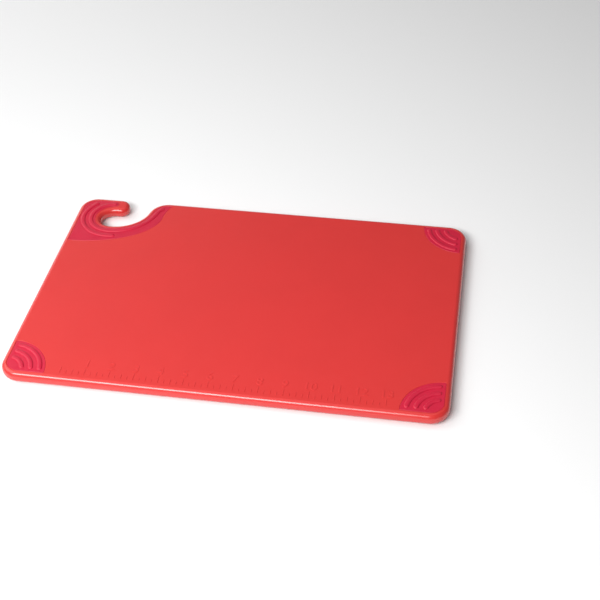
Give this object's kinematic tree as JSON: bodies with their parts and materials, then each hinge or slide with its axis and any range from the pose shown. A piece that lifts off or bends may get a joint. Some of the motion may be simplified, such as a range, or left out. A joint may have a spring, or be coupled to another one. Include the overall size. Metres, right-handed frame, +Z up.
{
  "type": "cutting board",
  "caption": "Rectangular plastic cutting board with a hook cut into one corner and soft ridged grips set into both faces at its corners.",
  "frame": {"origin": "under the centre of the board, in the plane that the lower grip ridges rest on", "axes": "+X along the length, with the hook at the -X end; +Y across the width towards the hook's side; +Z up through the thickness"},
  "size_m": [0.4572, 0.3048, 0.0147],
  "materials": {
    "board_plastic": "moulded co-polymer plastic with a fine satin surface",
    "grip_rubber": "soft moulded elastomer, matt, a little darker and bluer than the board"
  },
  "bodies": {
    "root": {"board_body": "board_plastic", "hook_grip": "grip_rubber", "front_left_grip": "grip_rubber", "front_right_grip": "grip_rubber", "rear_right_grip": "grip_rubber"}
  },
  "joints": []
}
